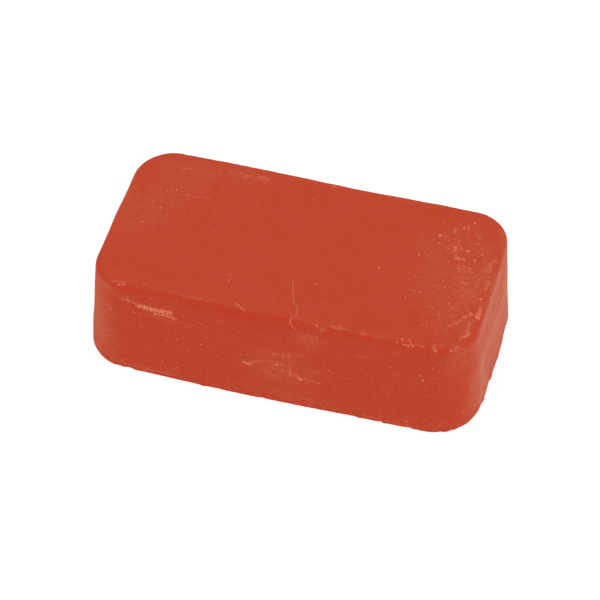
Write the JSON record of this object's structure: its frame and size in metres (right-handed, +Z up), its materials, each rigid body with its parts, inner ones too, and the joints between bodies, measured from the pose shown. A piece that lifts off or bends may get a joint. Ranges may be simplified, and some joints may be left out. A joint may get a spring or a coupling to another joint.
{
  "type": "detailing clay bar",
  "caption": "Pressed block of soft abrasive putty with rounded corners, leaning walls and a rolled top edge, rubbed over wet car paint to lift bonded grime.",
  "frame": {"origin": "centre of the underside, on the surface that the bar lies on", "axes": "+X along the bar's length, +Y across its width, +Z up through its thickness, from the broad underside to the smaller top face"},
  "size_m": [0.095, 0.051, 0.026],
  "materials": {
    "clay": "matte"
  },
  "bodies": {
    "root": {"clay_bar": "clay"}
  },
  "joints": []
}
